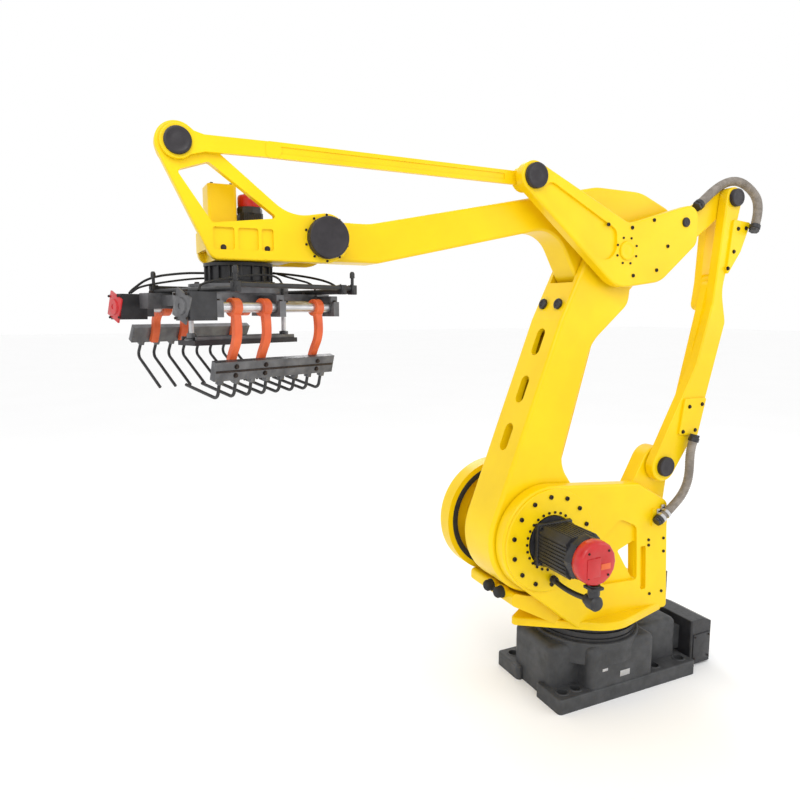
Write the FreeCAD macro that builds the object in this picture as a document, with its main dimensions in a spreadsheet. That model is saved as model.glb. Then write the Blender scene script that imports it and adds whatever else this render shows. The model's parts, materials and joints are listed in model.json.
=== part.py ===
import FreeCAD, Part
import math
import os
import re

from FreeCAD import Placement, Rotation, Vector

# Four-axis palletising robot with parallelogram links and a rake gripper.
# Frame: origin on the floor under the turning axis, +X the way the arm
# reaches, +Y the robot's left, +Z up. Millimetres.

doc = FreeCAD.newDocument("palletiser")
sheet = doc.addObject("Spreadsheet::Sheet", "Sizes")

SIZES = {
    # pivots of the linkage, seen from the robot's left
    "shoulder_x": 390, "shoulder_z": 855,
    "tower_dx": -702, "tower_dz": 288,
    "arm_dx": -390, "arm_dz": 1350,
    "fork_dx": 530, "fork_dz": 295,
    "reach_dx": 1468, "reach_dz": -7,
    "crank_dx": -256, "crank_dz": 45,
    "tool_x": 1766, "tool_yaw": 23,
    # side stack, inner and outer face of each layer
    "arm_half": 120, "fork_in": 85, "forearm_half": 80,
    "cheek_in": 128, "cheek_out": 190, "flange_out": 204,
    "tower_in": 60, "tower_out": 142, "post_out": 186,
    "lever_in": -180, "lever_out": -128,
    "rod_in": -240, "rod_out": -188,
    "far_in": -342, "far_out": -248,
    "plate_in": 150, "plate_out": 200,
    "rear_in": 90, "rear_out": 145,
    "bar_in": 96, "bar_out": 144,
    "wrist_in": 148, "wrist_out": 184, "wrist_far": -130, "wrist_far_out": -95,
    "cap_out": 222,
    # base and turning ring
    "base_front": 360, "base_rear": -540, "base_half": 270,
    "foot_top": 74, "body_top": 282, "ring_radius": 258, "ring_low": 300,
    "ring_top": 366, "deck_low": 367, "turret_radius": 240, "turret_top": 406,
    # shoulder
    "hub_radius": 285, "cheek_radius": 258, "far_radius": 300,
    "flange_radius": 248, "bolt_circle": 213, "bolt_count": 14,
    "output_radius": 45,
    "hose_radius": 23,
    # wrist and tool
    "riser_radius": 130, "riser_top": 2104, "riser_low": 2025,
    "plate_low": 1990, "rake_half": 270, "shaft_side": 235, "shaft_z": 1938,
    "near_rake_z": 1725, "far_rake_z": 1795, "near_rake_swing": -15, "far_rake_swing": -30,
    "tine_pitch": 66, "tine_count": 8, "tine_radius": 6,
}
for row, (alias, number) in enumerate(SIZES.items(), start=1):
    sheet.set(f"A{row}", alias)
    sheet.set(f"B{row}", str(number))
    sheet.setAlias(f"B{row}", alias)
doc.recompute()

SIDE, FLAT = "XZ_Plane", "XY_Plane"
AXIS_OF = {SIDE: "Y", FLAT: "Z"}


def size(alias):
    """A driving size, read back from the sheet."""
    return float(sheet.get(alias))


def point(origin, alias):
    return (origin[0] + size(alias + "_dx"), origin[1] + size(alias + "_dz"))


SHOULDER = (size("shoulder_x"), size("shoulder_z"))
TOWER = point(SHOULDER, "tower")
ELBOW = point(SHOULDER, "arm")
REAR = point(TOWER, "arm")
FORK = point(ELBOW, "fork")
WRIST = point(ELBOW, "reach")
NOSE = point(WRIST, "fork")
CRANK = point(SHOULDER, "crank")
LEVER = point(ELBOW, "crank")
TOOL_X = size("tool_x")


def bind(target, prop, expression):
    """Set a property from a number, or tie it to an expression on the sheet."""
    if isinstance(expression, str):
        target.setExpression(prop, re.sub(r"[a-z]\w*", r"Sizes.\g<0>", expression))
        return
    if "." in prop:
        place = target.AttachmentOffset if "Attachment" in prop else target.Placement
        setattr(place.Base, prop[-1], expression)
        if "Attachment" in prop:
            target.AttachmentOffset = place
        else:
            target.Placement = place
        return
    setattr(target, prop, expression)


def minus(expression):
    return f"-({expression})" if isinstance(expression, str) else -expression


def span(high, low):
    if isinstance(high, str) or isinstance(low, str):
        return f"({high}) - ({low})"
    return high - low


def tangent_normal(first, second):
    """Unit normal, right of travel, of the line that touches both circles."""
    dx, dy = second[0] - first[0], second[1] - first[1]
    distance = math.hypot(dx, dy)
    ux, uy = dx / distance, dy / distance
    lean = (first[2] - second[2]) / distance
    side = math.sqrt(1 - lean * lean)
    return (ux * lean + uy * side, uy * lean - ux * side)


def belt(circles):
    """Outline edges like a belt round circles (x, y, radius), counterclockwise.

    A negative radius is a hollow corner: the belt passes on its other side.
    """
    count = len(circles)
    normals = [tangent_normal(circles[i], circles[(i + 1) % count]) for i in range(count)]
    edges = []
    for i, (x, y, radius) in enumerate(circles):
        before, after = normals[i - 1], normals[i]
        cross = before[0] * after[1] - before[1] * after[0]
        turn = math.atan2(cross, before[0] * after[0] + before[1] * after[1])
        if radius * turn < 0 and abs(turn) < 2:
            raise ValueError(f"circle {i} at ({x:.0f}, {y:.0f}) turns the wrong way")
        start = Vector(x + before[0] * radius, y + before[1] * radius, 0)
        end = Vector(x + after[0] * radius, y + after[1] * radius, 0)
        if radius and (end - start).Length > 1e-6:
            ring = Part.Circle(Vector(x, y, 0), Vector(0, 0, 1), abs(radius))
            first, last = (start, end) if radius > 0 else (end, start)
            a = math.atan2(first.y - y, first.x - x)
            b = math.atan2(last.y - y, last.x - x)
            edges.append(Part.ArcOfCircle(ring, a, b if b > a else b + 2 * math.pi))
        far_x, far_y, far_radius = circles[(i + 1) % count]
        goal = Vector(far_x + after[0] * far_radius, far_y + after[1] * far_radius, 0)
        if (goal - end).Length > 1e-6:
            edges.append(Part.LineSegment(end, goal))
    return edges


def disc(x, y, radius):
    return [Part.Circle(Vector(x, y, 0), Vector(0, 0, 1), radius)]


def body_sketch(body, name, plane, offset, loops):
    """A sketch of closed loops on one of the body's own planes."""
    sketch = body.newObject("Sketcher::SketchObject", name)
    base = [f for f in body.Origin.OriginFeatures if f.Role == plane][0]
    sketch.AttachmentSupport = [(base, "")]
    sketch.MapMode = "FlatFace"
    bind(sketch, ".AttachmentOffset.Base.z", offset)
    for loop in loops:
        for edge in loop:
            sketch.addGeometry(edge, False)
    return sketch


def rim_edges(shape, axis, places):
    """Names of the outer edges of the end faces at the given places along an axis."""
    names = []
    for face in shape.Faces:
        box = face.BoundBox
        low, high = getattr(box, axis + "Min"), getattr(box, axis + "Max")
        if high - low > 1e-4 or min(abs(low - place) for place in places) > 1e-4:
            continue
        outer = face.OuterWire.Edges
        for i, edge in enumerate(shape.Edges, start=1):
            if any(edge.isSame(other) for other in outer):
                names.append(f"Edge{i}")
    return names


def soften(body, pad, radius, axis, ends):
    """Round the outer rim of a pad at its high end, its low end or both."""
    doc.recompute()
    box = pad.Shape.BoundBox
    places = [getattr(box, axis + end) for end in ends]
    fillet = body.newObject("PartDesign::Fillet", body.Name + "_rim")
    fillet.Base = (pad, rim_edges(pad.Shape, axis, places))
    fillet.Radius = radius
    pad.Visibility = False
    return fillet


def plate(name, loops, low, high, plane=SIDE, soft=0, ends=("Max",)):
    """A body padded between two heights across the sketch's plane."""
    body = doc.addObject("PartDesign::Body", name)
    start = minus(high) if plane == SIDE else low
    sketch = body_sketch(body, name + "_outline", plane, start, loops)
    pad = body.newObject("PartDesign::Pad", name + "_pad")
    pad.Profile = sketch
    bind(pad, "Length", span(high, low))
    sketch.Visibility = False
    body.Tip = pad
    if soft:
        body.Tip = soften(body, pad, soft, AXIS_OF[plane], ends)
    return body


def rod(name, radius, low, high, at):
    """A cylinder along Y between two side faces, at (x, z)."""
    part = doc.addObject("Part::Cylinder", name)
    part.Placement = Placement(Vector(at[0], 0, at[1]), Rotation(Vector(1, 0, 0), -90))
    bind(part, "Radius", radius)
    bind(part, "Height", span(high, low))
    bind(part, ".Placement.Base.y", low)
    return part


def post(name, radius, low, high, at):
    """A cylinder along Z between two heights, at (x, y)."""
    part = doc.addObject("Part::Cylinder", name)
    part.Placement = Placement(Vector(at[0], at[1], 0), Rotation())
    bind(part, "Radius", radius)
    bind(part, "Height", span(high, low))
    bind(part, ".Placement.Base.z", low)
    return part


def block(name, x, y, z):
    """A box between two corners, each axis given as (low, high)."""
    part = doc.addObject("Part::Box", name)
    part.Placement = Placement(Vector(x[0], y[0], z[0]), Rotation())
    for prop, (low, high) in zip(("Length", "Width", "Height"), (x, y, z)):
        setattr(part, prop, high - low)
    return part


def fuse(name, parts):
    joined = doc.addObject("Part::MultiFuse", name)
    joined.Shapes = parts
    joined.Refine = True
    return joined


def cut(name, base, *tools):
    tool = tools[0] if len(tools) == 1 else fuse(name + "_tools", list(tools))
    result = doc.addObject("Part::Cut", name)
    result.Base = base
    result.Tool = tool
    result.Refine = True
    return result


def group(name, parts):
    """Several separate solids that share one node."""
    joined = doc.addObject("Part::Compound", name)
    joined.Links = parts
    return joined


def solid_shape(name, shape):
    """A sub-part whose shape comes from Part's own functions."""
    feature = doc.addObject("Part::Feature", name)
    feature.Shape = shape
    return feature


NODES = []


def keep(label, part):
    """Name a finished sub-part and list it for writing."""
    part.Label = label
    NODES.append(part)
    return part


def along(origin, target):
    """A function that turns (forward, sideways, radius) on a link into (x, z, radius)."""
    dx, dz = target[0] - origin[0], target[1] - origin[1]
    length = math.hypot(dx, dz)
    ux, uz = dx / length, dz / length

    def place(forward, side, radius):
        return (
            origin[0] + ux * forward + uz * side,
            origin[1] + uz * forward - ux * side,
            radius,
        )

    return place


def rounded_route(points, radii):
    """Straight runs through points, joined by tangent arcs."""
    edges = []
    here = points[0]
    for before, corner, after, radius in zip(points, points[1:], points[2:], radii):
        back = (before - corner).normalize()
        ahead = (after - corner).normalize()
        half = back.getAngle(ahead) / 2
        reach = radius / math.tan(half)
        start, end = corner + back * reach, corner + ahead * reach
        middle = corner + (back + ahead).normalize() * (radius / math.sin(half) - radius)
        edges.append(Part.LineSegment(here, start).toShape())
        edges.append(Part.Arc(start, middle, end).toShape())
        here = end
    edges.append(Part.LineSegment(here, points[-1]).toShape())
    return Part.Wire(edges)


def tube(name, points, radii, radius):
    """A hose: a round section carried along a rounded route."""
    route = rounded_route(points, radii)
    ring = Part.Circle(points[0], points[1] - points[0], radius)
    shape = route.makePipeShell([Part.Wire([ring.toShape()])], True, True)
    expected = math.pi * radius * radius * route.Length
    if abs(shape.Volume / expected - 1) > 0.02:
        raise RuntimeError(f"{name}: volume does not match its route")
    return shape


# ---------------------------------------------------------------- base

def base_casting():
    front, rear, half = size("base_front"), size("base_rear"), size("base_half")
    nook = 34
    feet = plate("base_feet", [belt([
        (rear + 20, -half + 20, 20), (front - 20, -half + 20, 20),
        (front - 20, -95, 20), (front - nook - 16, -75, -16), (front - nook - 16, 75, -16),
        (front - 20, 95, 20), (front - 20, half - 20, 20), (rear + 20, half - 20, 20)])],
        0, "foot_top", FLAT, 9)
    spine = plate("base_spine", [belt([
        (rear + 80, -132, 40), (290, -125, 40), (290, 125, 40), (rear + 80, 132, 40)])],
        0, "body_top", FLAT, 34)
    flanks = plate("base_flanks", [belt([
        (-212, -226, 36), (134, -226, 36), (134, 226, 36), (-212, 226, 36)])],
        0, 288, FLAT, 34)
    collar = plate("base_collar", [disc(0, 0, 276)], 190, "ring_low", FLAT, 10)
    casting = fuse("base_blank", [feet, spine, flanks, collar])
    bores = [post(f"base_bore{i}", 26, -1, 100, (x, y))
             for i, (x, y) in enumerate(
                 (x, side * (half - 62)) for side in (-1, 1)
                 for x in (298, 218, -298, -478))]
    inside = plate("base_inside", [belt([
        (rear + 92, -120, 24), (258, -120, 24), (258, 120, 24), (rear + 92, 120, 24)])],
        -1, 250, FLAT)
    flank_inside = plate("base_flank_inside", [belt([
        (-193, -203, 24), (110, -203, 24), (110, 203, 24), (-193, 203, 24)])],
        -1, 252, FLAT)
    throat = post("base_throat", 200, 150, 310, (0, 0))
    keep("base_casting", cut("base_casting", casting, inside, flank_inside, throat,
                             *bores))


def base_fittings():
    box = plate("connector_blank", [belt([
        (-705, -60, 12), (-575, -60, 12), (-575, 200, 12), (-705, 200, 12)])],
        12, 262, FLAT, 6)
    roof = block("connector_roof", (-800, -640), (-100, 230), (300, 340))
    roof.Placement = Placement(Vector(-790, -100, 205), Rotation(Vector(0, 1, 0), -24))
    keep("connector_box", cut("connector_box", box, roof))
    neck = block("connector_neck", (-563, -500), (-55, 130), (76, 206))
    keep("connector_neck", neck)
    ring = plate("j1_bearing_ring", [disc(0, 0, size("ring_radius")), disc(0, 0, 205)],
                 "ring_low", "ring_top", FLAT)
    keep("j1_bearing_ring", ring)


# ---------------------------------------------------------------- turret

def turret_casting():
    x, z = SHOULDER
    wide = size("turret_radius")
    deck = plate("turret_deck", [belt([(0, -30, wide), (428, 0, 26), (0, 30, wide),
                                       (-330, 150, 40), (-330, -120, 40)])],
                 "deck_low", "turret_top", FLAT, 12)
    near = plate("near_cheek", [
        belt([(x, z, size("cheek_radius")), (-150, 1020, 48), (-318, 925, 45),
              (-372, 392, 22), (190, 394, 24)]),
        disc(x, z, 122)], "cheek_in", "cheek_out", SIDE, 14)
    pocket = [(-150, 582, 20), (40, 592, 20), (52, 800, 20), (-50, 846, 46), (-118, 822, 38)]
    recess = plate("cheek_recess", [belt(pocket)], 172, 200)
    back = plate("cheek_back", [belt(pocket)], 120, 152)
    window = plate("cheek_window", [belt([(-158, 572, 8), (-62, 724, 8), (-152, 758, 8)])],
                   120, 200)
    slot = plate("post_slot", [belt([(-208, 510, 9), (-196, 725, 9), (-214, 725, 9),
                                     (-226, 510, 9)])], 165, 200)
    arm = plate("tower_arm", [belt([(*TOWER, 92), (-330, 880, 40), (-150, 940, 50)]),
                              disc(*TOWER, 30)], "tower_in", "tower_out", SIDE, 9)
    far = plate("far_cheek", [belt([(x, z, size("far_radius")), (-110, 390, 20),
                                    (120, 390, 20)]), disc(x, z, 122)],
                "far_in", "far_out", SIDE, 16, ("Min",))
    trunk = plate("turret_trunk", [belt([
        (-290, 395, 25), (250, 395, 25), (529, 545, 20), (529, 568, 20), (x, z, -297),
        (95, 600, 20), (-270, 440, 24)])], -248, 128)
    web = plate("tower_web", [belt([(-372, 392, 22), (-330, 392, 20), (-310, 480, 20),
                                    (-350, 480, 20)])], -110, 128)
    whole = fuse("turret_blank", [deck, near, arm, far, trunk, web])
    hollow = plate("trunk_hollow", [belt([
        (-205, 414, 14), (230, 414, 14), (460, 520, 10), (x, z, -330), (100, 562, 12),
        (-225, 428, 8)])], -318, 104)
    far_pocket = plate("far_pocket", [belt([(x, z, 270), (-92, 414, 20), (102, 414, 20)]),
                                      disc(x, z, 152)], -318, -247)
    near_pocket = plate("near_pocket", [disc(x, z, 232), disc(x, z, 152)], 127, 166)
    throat = post("turret_throat", 150, 340, 450, (0, 0))
    keep("turret_casting", cut("turret_casting", whole, recess, back, window, slot, hollow,
                               far_pocket, near_pocket, throat))


def shoulder_drives():
    x, z = SHOULDER
    keep("j2_flange_ring", plate("j2_flange_ring", [
        disc(x, z, size("flange_radius")), disc(x, z, 126)], "cheek_out", "flange_out",
        SIDE, 4))
    bolts = []
    count = int(size("bolt_count"))
    for i in range(count):
        turn = 2 * math.pi * (i + 0.41) / count
        at = (x + size("bolt_circle") * math.cos(turn), z + size("bolt_circle") * math.sin(turn))
        bolts.append(rod(f"flange_bolt{i}", 11, "flange_out", 213, at))
    keep("j2_flange_bolts", group("j2_flange_bolts", bolts))
    for side, name in ((1, "j2"), (-1, "j3")):
        shaft_low, shaft_high = 124.5, 206
        low, high = 206, 468
        cap_low, cap_high = 468, 532
        if side < 0:
            shaft_low, shaft_high = -344, -246
            low, high = -560, -344
            cap_low, cap_high = -626, -560
        bore = size("output_radius") + 0.05
        nose = plate(name + "_motor_nose", [disc(x, z, 121), disc(x, z, bore)],
                     shaft_low, shaft_high)
        housing = plate(name + "_motor_case", [belt([
            (x - 72, z - 78, 28), (x + 72, z - 78, 28), (x + 72, z + 78, 28),
            (x - 72, z + 78, 28)])], low, high)
        keep(name + "_motor", fuse(name + "_motor", [nose, housing]))
        keep(name + "_motor_cap", rod(name + "_motor_cap", 100, cap_low, cap_high, SHOULDER))


STOP_FACE = 549


def turret_fittings():
    x = SHOULDER[0]
    drop = post("connector_drop", 27, 675, 752, (x - 6, 497))
    knuckle = rod("connector_knuckle", 36, 452, 532, (x - 6, 672))
    lead = rod("connector_lead", 22, 216, 456, (x - 6, 672))
    keep("j2_connectors", fuse("j2_connectors", [drop, knuckle, lead]))
    stops = []
    for i, (bx, by, bz) in enumerate(((STOP_FACE, 46, 575), (STOP_FACE, -44, 575))):
        stop = doc.addObject("Part::Cylinder", f"bump_stop{i}")
        stop.Radius = 30
        stop.Height = 46
        stop.Placement = Placement(Vector(bx, by, bz), Rotation(Vector(0, 1, 0), 90))
        stops.append(stop)
    keep("bump_stops", group("bump_stops", stops))
    keep("tower_cable_plate", block("tower_cable_plate", (-406, -394), (40, 170), (400, 560)))
    pad = block("clamp_pad", (-352, -250), (190, 198), (835, 925))
    keep("tower_hose_clamp", pad)


# ---------------------------------------------------------------- lower arm

def lower_arm():
    place = along(SHOULDER, ELBOW)
    outline = [
        (*SHOULDER, size("hub_radius")), place(1000, 112, 92),
        (*ELBOW, 134), place(1215, -82, 84), place(890, -225, -215),
        place(430, -160, -150)]
    blank = plate("arm_blank", [belt(outline)], minus("arm_half"), "arm_half", SIDE, 18,
                  ("Max", "Min"))
    notch = plate("arm_notch", [belt([(*ELBOW, 262), place(1600, 300, 60), place(1700, 0, 60),
                                      place(1600, -300, 60)])],
                  minus("fork_in"), "fork_in")
    cavity = plate("arm_cavity", [belt([
        place(330, 85, 60), place(510, 116, 88), place(990, 106, 76),
        place(1060, 74, 50)])], -96, 96)
    lean = math.degrees(math.atan2(ELBOW[0] - SHOULDER[0], ELBOW[1] - SHOULDER[1]))
    slots = []
    for i, forward in enumerate((420, 660, 900)):
        px, pz, _ = place(forward, 100, 0)
        slot = plate(f"arm_slot{i}", [belt([(-38, 0, 30), (38, 0, 30)])], 0, 260, FLAT)
        slot.Placement = Placement(Vector(px, 0, pz), Rotation(Vector(0, 1, 0), 90 + lean))
        slots.append(slot)
    bore = rod("arm_hub_bore", 118.5, -130, 130, SHOULDER)
    eye = rod("arm_eye_bore", 55, -130, 130, ELBOW)
    keep("lower_arm_casting", cut("lower_arm_casting", blank, notch, cavity, bore, eye, *slots))
    keep("shoulder_shaft", fuse("shoulder_shaft", [
        rod("shoulder_trunnion", 118.45, minus("arm_half"), "arm_half", SHOULDER),
        rod("shoulder_output", "output_radius", "arm_half", "flange_out", SHOULDER)]))


def arm_plugs():
    place = along(SHOULDER, ELBOW)
    plugs = []
    lean = math.degrees(math.atan2(ELBOW[0] - SHOULDER[0], ELBOW[1] - SHOULDER[1]))
    for i, side in enumerate((-57, 57)):
        px, pz, _ = place(1092, 195, 0)
        plug = doc.addObject("Part::Cylinder", f"arm_plug{i}")
        plug.Radius = 26
        plug.Height = 14
        plug.Placement = Placement(Vector(px, side, pz), Rotation(Vector(0, 1, 0), 90 + lean))
        plugs.append(plug)
    keep("lower_arm_plugs", group("lower_arm_plugs", plugs))


# ---------------------------------------------------------------- levelling linkage

def back_link():
    place = along(TOWER, REAR)
    near = plate("link_near", [belt([
        (*TOWER, 78), place(560, 165, -200), place(850, 165, -200), (*REAR, 54),
        place(1000, -277, -200), place(785, -100, 60), place(250, -104, 60)]),
        disc(*TOWER, 30), disc(*REAR, 30)], "plate_in", "plate_out", SIDE, 9)
    beam = plate("link_beam", [belt([place(200, -84, 36), place(960, -50, 30),
                                     place(780, -112, 36), place(250, -112, 40)])],
                 112, "plate_in")
    root = plate("link_root", [belt([place(880, -92, 34), place(1000, -75, 34)])],
                 36, "plate_in", SIDE, 8, ("Min",))
    far = plate("link_far", [belt([place(985, -80, 36), (*REAR, 54)]), disc(*REAR, 30)],
                36, 84, SIDE, 8, ("Min",))
    keep("back_link_casting", fuse("back_link_casting", [near, beam, far, root]))
    lower = plate("lower_bracket", [belt([place(185, -40, 10), place(350, -20, 10),
                                          place(385, -145, 10), place(205, -150, 10)])],
                  "plate_out", 212, SIDE, 3)
    upper = plate("upper_bracket", [belt([place(1040, -70, 8), place(1290, -30, 10),
                                          place(1310, -128, 10), place(1165, -112, 10)])],
                  "plate_out", 212, SIDE, 3)
    keep("back_link_brackets", group("back_link_brackets", [lower, upper]))


def rear_pins():
    keep("back_link_pins", group("back_link_pins", [
        rod("tower_pin", 29.97, "tower_in", "plate_out", TOWER),
        rod("rear_pin", 29.97, 36, "plate_out", REAR)]))
    keep("back_link_caps", group("back_link_caps", [
        rod("tower_cap", 50, "plate_out", "cap_out", TOWER),
        rod("rear_cap", 44, "plate_out", "cap_out", REAR)]))


def levelling_triangle():
    ex, ez = ELBOW
    near = plate("triangle_near", [
        belt([(ex - 165, ez, 146), (*ELBOW, 168), (*FORK, 66), (ex - 20, ez + 215, -84),
              (ex - 395, ez + 170, 60), (ex - 395, ez + 78, 60)]),
        disc(*ELBOW, 40), disc(*FORK, 30)], "plate_in", "plate_out", SIDE, 10)
    channel = plate("triangle_channel", [belt([
        (ex + 130, ez + 25, 70), (ex + 440, ez + 235, 40), (ex + 110, ez + 62, 48)])],
        188, 210)
    rear = plate("triangle_rear", [belt([(ex - 400, ez + 85, 62), (ex - 412, ez + 150, 46),
                                         (*REAR, 54)]), disc(*REAR, 30)],
                 "rear_in", "rear_out", SIDE, 8)
    bridge = plate("triangle_bridge", [belt([(ex - 398, ez + 90, 52), (ex - 398, ez + 175, 46),
                                             (ex - 436, ez + 150, 40)])], 100, 160)
    keep("levelling_triangle", cut("levelling_triangle",
                                   fuse("triangle_blank", [near, rear, bridge]), channel))
    keep("triangle_pin", rod("triangle_pin", 29.97, "bar_in", "plate_out", FORK))
    keep("triangle_cap", rod("triangle_cap", 54, "plate_out", "cap_out", FORK))


def top_link():
    """Rear boss behind the triangle, a bar leaning outward, front boss outside the wrist."""
    place = along(FORK, NOSE)
    reach = math.hypot(NOSE[0] - FORK[0], NOSE[1] - FORK[1])
    straight = 330
    inner, outer = size("bar_in"), size("wrist_out") + 3
    step = outer - inner - 12
    lean = math.degrees(math.asin(step / (reach - straight)))
    rear_boss = plate("link_rear_boss", [disc(*FORK, 56), disc(*FORK, 30)],
                      inner, "bar_out", SIDE, 5, ("Max", "Min"))
    front_boss = plate("link_front_boss", [disc(*NOSE, 58), disc(*NOSE, 30)],
                       outer, outer + 20, SIDE, 4)
    bar = plate("link_bar", [belt([place(40, 14, 14), place(reach - straight + 20, 14, 14),
                                   place(reach - straight + 20, -14, 14), place(40, -14, 14)])],
                -10, 10)
    flute = plate("link_flute", [belt([place(120, 8, 5), place(reach - straight, 8, 5),
                                       place(reach - straight, -8, 5), place(120, -8, 5)])],
                  6, 12)
    lean_turn = Rotation(Vector(0, 0, 1), lean)
    leaning = cut("link_leaning", bar, flute)
    leaning.Placement = Placement(Vector(0, inner + 22, 0), lean_turn, Vector(FORK[0], 0, 0))
    front = plate("link_front", [belt([place(reach - straight, 0, 27), place(reach - 90, 36, -8),
                                       (*NOSE, 50), place(reach - 90, -36, -8)]),
                                 disc(*NOSE, 30)], outer, outer + 20)
    fork_hole = rod("link_fork_hole", 30, inner - 10, outer, FORK)
    keep("top_link", cut("top_link", fuse("top_link_blank",
                                          [rear_boss, front_boss, leaning, front]), fork_hole))


# ---------------------------------------------------------------- forearm

def forearm():
    ex, ez = ELBOW
    wx, wz = WRIST
    outline = [
        (*WRIST, 78), (wx - 190, wz + 376, -300), (ex + 60, ez + 60, 242),
        (ex - 150, ez + 60, 238), (ex - 330, ez + 165, 75), (*ELBOW, 232),
        (ex + 400, ez - 66, -150), (wx - 250, wz, 80)]
    blank = plate("forearm_blank", [belt(outline), disc(*ELBOW, 55), disc(*WRIST, 40)],
                  minus("forearm_half"), "forearm_half", SIDE, 14, ("Max", "Min"))
    cavity = plate("forearm_cavity", [belt([
        (wx - 190, wz, 48), (wx - 260, wz + 40, 48), (ex + 560, ez + 150, 46),
        (ex + 480, ez + 150, 34), (wx - 300, wz - 10, 48)])], -100, 54)
    keep("forearm_casting", cut("forearm_casting", blank, cavity))
    lever = plate("forearm_lever_plate", [belt([(*ELBOW, 110), (*LEVER, 56)]),
                                          disc(*LEVER, 26)], "lever_in", "lever_out")
    trunnion = rod("forearm_trunnion", 54.95, "lever_out", -30, ELBOW)
    keep("forearm_lever", fuse("forearm_lever", [lever, trunnion]))
    keep("elbow_pin", fuse("elbow_pin", [
        rod("elbow_pin_near", 54.95, -30, 120, ELBOW),
        rod("elbow_pin_tip", 39.95, 120, 201, ELBOW)]))
    keep("elbow_cap", rod("elbow_cap", 44, 201, 209, ELBOW))
    keep("lever_pin", rod("lever_pin", 25.97, "rod_in", "lever_out", LEVER))
    keep("wrist_pin", rod("wrist_pin", 39.97, -129, 183, WRIST))


def elbow_drive():
    crank = plate("crank_plate", [belt([(*SHOULDER, 190), (*CRANK, 62)]),
                                  disc(*CRANK, 26)], "lever_in", "lever_out")
    shaft = rod("crank_shaft", "output_radius", -340, "lever_in", SHOULDER)
    keep("j3_crank", fuse("j3_crank", [crank, shaft]))
    keep("j3_crank_pin", rod("j3_crank_pin", 25.97, "rod_in", "lever_out", CRANK))
    place = along(CRANK, LEVER)
    reach = math.hypot(size("arm_dx"), size("arm_dz"))
    keep("j3_link", plate("j3_link", [belt([
        (*CRANK, 52), place(110, 58, -22), place(reach - 110, 58, -22),
        (*LEVER, 52), place(reach - 110, -58, -22),
        place(110, -58, -22)]), disc(*CRANK, 26), disc(*LEVER, 26)],
        "rod_in", "rod_out"))


# ---------------------------------------------------------------- wrist

def wrist_plate():
    """The open triangular near side of the wrist frame."""
    wx, wz = WRIST
    nx, nz = NOSE
    outline = belt([(*NOSE, 72), (wx + 92, wz + 240, -160), (*WRIST, 92),
                    (wx + 401, wz - 52, 40)])
    window = belt([(nx - 14, nz - 97, 12), (nx - 100, nz - 68, 12), (wx + 206, wz + 68, 8),
                   (wx + 414, wz + 50, 14)])
    return plate("wrist_near", [outline, window, disc(*WRIST, 40), disc(*NOSE, 30)],
                 "wrist_in", "wrist_out", SIDE, 8)


def wrist_casting():
    wx, wz = WRIST
    bottom = wz - 89
    near = wrist_plate()
    far = plate("wrist_far", [belt([(*WRIST, 92), (wx + 392, wz - 52, 40),
                                    (wx + 392, wz - 12, 40)]), disc(*WRIST, 40)],
                "wrist_far", "wrist_far_out", SIDE, 8, ("Min",))
    floor = block("wrist_floor", (wx + 120, wx + 405), (-130, 170), (bottom, wz - 40))
    rear = block("wrist_rear", (wx + 118, wx + 150), (-130, 170), (bottom, wz + 30))
    front = block("wrist_front", (wx + 420, wx + 434), (-125, 170), (wz - 50, wz + 26))
    seat = post("wrist_seat", 105, bottom, wz - 30, (TOOL_X, 0))
    nose_tube = rod("nose_tube", 62, 84, "wrist_in", NOSE)
    whole = fuse("wrist_blank", [near, far, floor, rear, front, seat, nose_tube])
    recesses = [plate(f"wrist_recess{i}", [belt([
        (left + 8, wz - 48, 8), (right - 8, wz - 48, 8), (right - 8, wz + 14, 8),
        (left + 8, wz + 14, 8)])], 174, 190)
        for i, (left, right) in enumerate(((1673, 1716), (1728, 1800), (1814, 1888)))]
    shaft_bore = post("wrist_shaft_bore", 60, wz - 140, wz, (TOOL_X, 0))
    nose_bore = rod("nose_bore", 30, 80, 200, NOSE)
    keep("wrist_casting", cut("wrist_casting", whole, shaft_bore, nose_bore, *recesses))
    keep("wrist_side_cap", rod("wrist_side_cap", 78, "wrist_out", "cap_out", WRIST))
    keep("nose_pin", rod("nose_pin", 29.97, 84, 206, NOSE))
    keep("nose_cap", rod("nose_cap", 46, 207, "cap_out", NOSE))


def tool_drive():
    wz = WRIST[1]
    keep("j4_gearbox", plate("j4_gearbox", [belt([
        (TOOL_X + 22, -50, 12), (TOOL_X + 104, -50, 12), (TOOL_X + 104, 50, 12),
        (TOOL_X + 22, 50, 12)])], wz - 30, wz + 192, FLAT, 5))
    keep("j4_motor", plate("j4_motor", [belt([
        (TOOL_X - 86, -38, 16), (TOOL_X - 14, -38, 16), (TOOL_X - 14, 38, 16),
        (TOOL_X - 86, 38, 16)])], wz - 30, wz + 120, FLAT))
    keep("j4_motor_cap", post("j4_motor_cap", 46, wz + 120, wz + 168, (TOOL_X - 50, 0)))
    riser = post("tool_riser_drum", "riser_radius", "riser_low", "riser_top", (TOOL_X, 0))
    stub = post("tool_riser_stub", 59.95, "riser_top", wz - 32, (TOOL_X, 0))
    keep("tool_riser", fuse("tool_riser", [riser, stub]))


# ---------------------------------------------------------------- gripper

YAW = Rotation(Vector(0, 0, 1), size("tool_yaw"))
TOOL_PLACE = Placement(Vector(TOOL_X, 0, 0), YAW)


def on_tool(part):
    """Move a piece drawn about the tool axis to its turned place."""
    part.Placement = TOOL_PLACE.multiply(part.Placement)
    return part


def long_rod(name, radius, x, y, z):
    """A round bar along the gripper's length, between two x values."""
    bar = doc.addObject("Part::Cylinder", name)
    bar.Radius = radius
    bar.Height = x[1] - x[0]
    bar.Placement = Placement(Vector(x[0], y, z), Rotation(Vector(0, 1, 0), 90))
    return on_tool(bar)


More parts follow.
